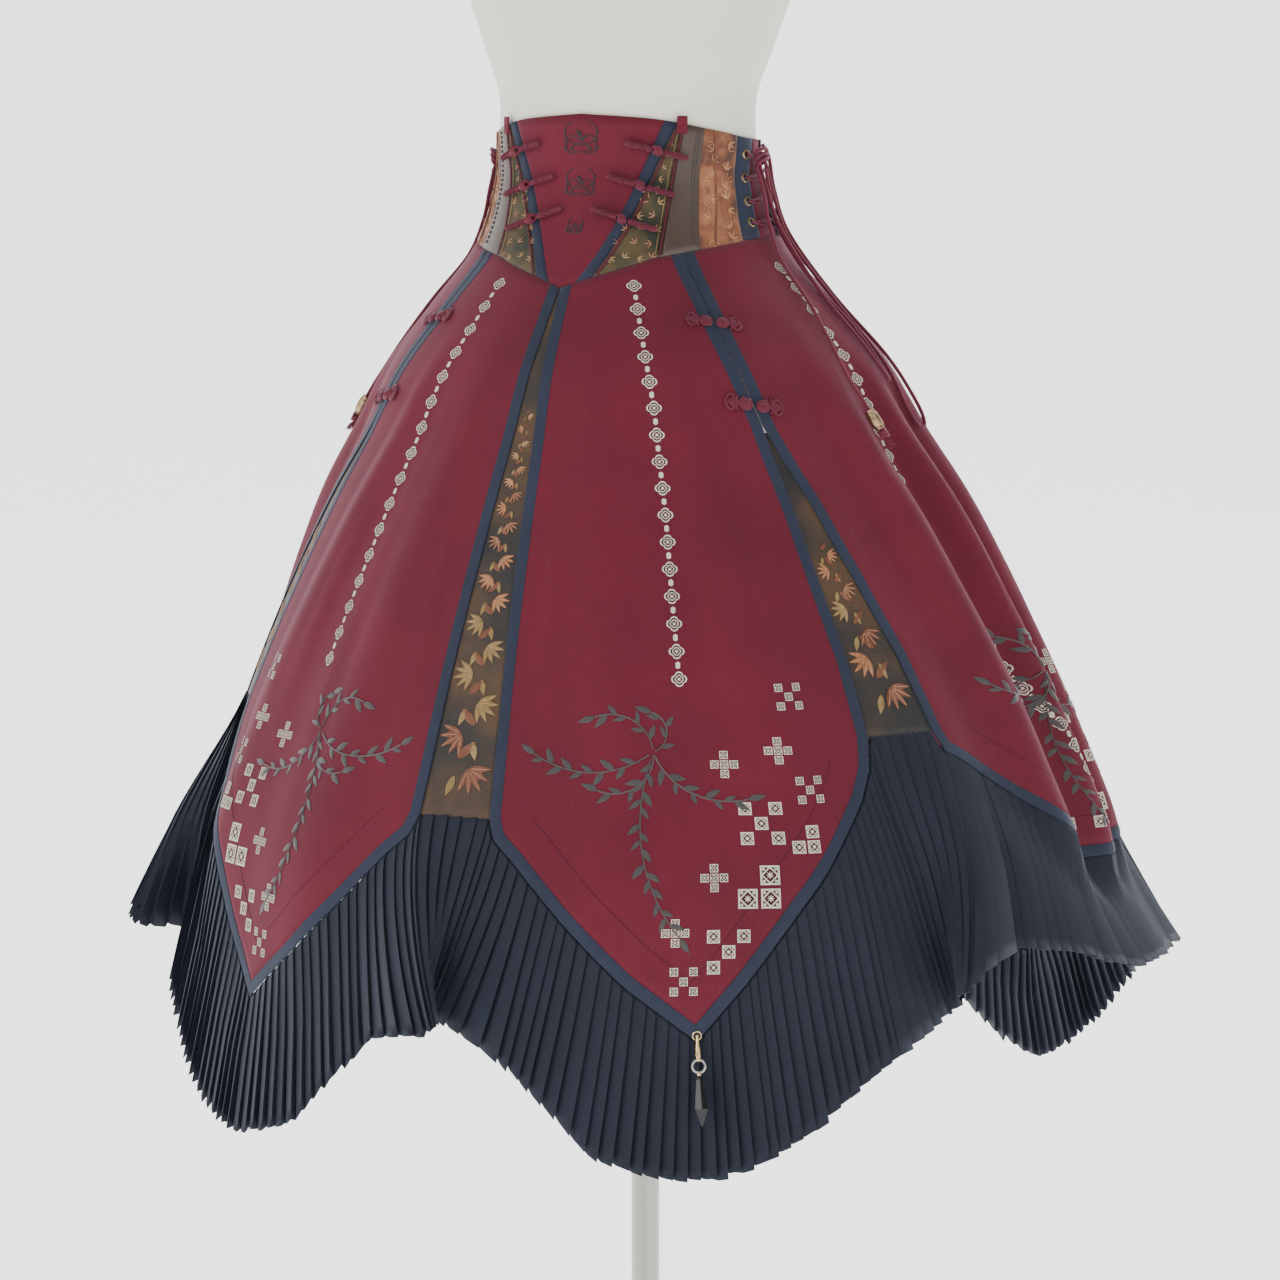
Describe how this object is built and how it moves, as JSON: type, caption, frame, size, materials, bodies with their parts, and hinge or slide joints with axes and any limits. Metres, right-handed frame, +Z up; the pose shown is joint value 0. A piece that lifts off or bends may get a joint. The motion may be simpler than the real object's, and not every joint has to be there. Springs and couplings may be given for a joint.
{
  "type": "corset skirt on a dress form",
  "caption": "High-waisted corset skirt with bound petal panels over a knife-pleated ruffle, laced at the sides, worn on a limbless dress form on a pole and round base.",
  "frame": {"origin": "on the floor, in the middle of the underside of the form's round base", "axes": "+Z up along the pole; the centre front of the skirt faces -Y; +X is the viewer's right when looking at the front"},
  "size_m": [0.8786, 0.8348, 1.532],
  "materials": {
    "burgundy_twill": "matt twill with a faint sheen",
    "navy_binding": "matt bias binding",
    "navy_pleats": "matt crisp pleated cloth",
    "dark_printed_cloth": "dark ground with a copper and olive print",
    "olive_satin": "olive brown satin",
    "burgundy_cord": "twisted satin cord",
    "antique_brass": "aged brass; the pendant's drop is black glass",
    "cream_linen": "smooth cream cover",
    "satin_steel": "satin"
  },
  "bodies": {
    "garment_on_form": {"belt_loop_l": "burgundy_twill", "belt_loop_r": "burgundy_twill", "bow_loop_long_l": "burgundy_cord", "bow_loop_long_r": "burgundy_cord", "bow_loop_short_l": "burgundy_cord", "bow_loop_short_r": "burgundy_cord", "coil_frog_1_l": "burgundy_cord", "coil_frog_1_r": "burgundy_cord", "coil_frog_2_l": "burgundy_cord", "coil_frog_2_r": "burgundy_cord", "coil_frog_3_l": "burgundy_cord", "coil_frog_3_r": "burgundy_cord", "cord_bead_l": "antique_brass", "cord_bead_r": "antique_brass", "cord_end_l": "burgundy_cord", "cord_end_r": "burgundy_cord", "corset_back": "burgundy_twill", "corset_eyelet_strip_l": "navy_binding", "corset_eyelet_strip_r": "navy_binding", "corset_plastron": "burgundy_twill", "corset_print_front_l": "dark_printed_cloth", "corset_print_front_r": "dark_printed_cloth", "corset_print_side_l": "dark_printed_cloth", "corset_print_side_r": "dark_printed_cloth", "corset_rear_strip_l": "navy_binding", "corset_rear_strip_r": "navy_binding", "corset_satin_l": "olive_satin", "corset_satin_r": "olive_satin", "corset_v_binding_l": "navy_binding", "corset_v_binding_r": "navy_binding", "flower_frog_1_l": "burgundy_cord", "flower_frog_1_r": "burgundy_cord", "flower_frog_2_l": "burgundy_cord", "flower_frog_2_r": "burgundy_cord", "form_stand": "satin_steel", "form_torso": "cream_linen", "insert_back": "dark_printed_cloth", "insert_front": "dark_printed_cloth", "insert_side_back_l": "dark_printed_cloth", "insert_side_back_r": "dark_printed_cloth", "insert_side_front_l": "dark_printed_cloth", "insert_side_front_r": "dark_printed_cloth", "petal_back_l": "burgundy_twill", "petal_back_r": "burgundy_twill", "petal_binding_back_l": "navy_binding", "petal_binding_back_r": "navy_binding", "petal_binding_front_l": "navy_binding", "petal_binding_front_r": "navy_binding", "petal_binding_side_l": "navy_binding", "petal_binding_side_r": "navy_binding", "petal_front_l": "burgundy_twill", "petal_front_r": "burgundy_twill", "petal_side_l": "burgundy_twill", "petal_side_r": "burgundy_twill", "ruffle_back_l": "navy_pleats", "ruffle_back_r": "navy_pleats", "ruffle_front": "navy_pleats", "side_lacing_l": "burgundy_cord", "side_lacing_r": "burgundy_cord"},
    "pendant": {"pendant": "antique_brass"}
  },
  "joints": [
    {"name": "pendant_swing", "type": "hinge", "parent": "garment_on_form", "child": "pendant", "pos_m": [0.2016, -0.32285, 0.436], "axis": [0.4741, -0.8082, 0.3494], "range_deg": [-45, 45]}
  ]
}
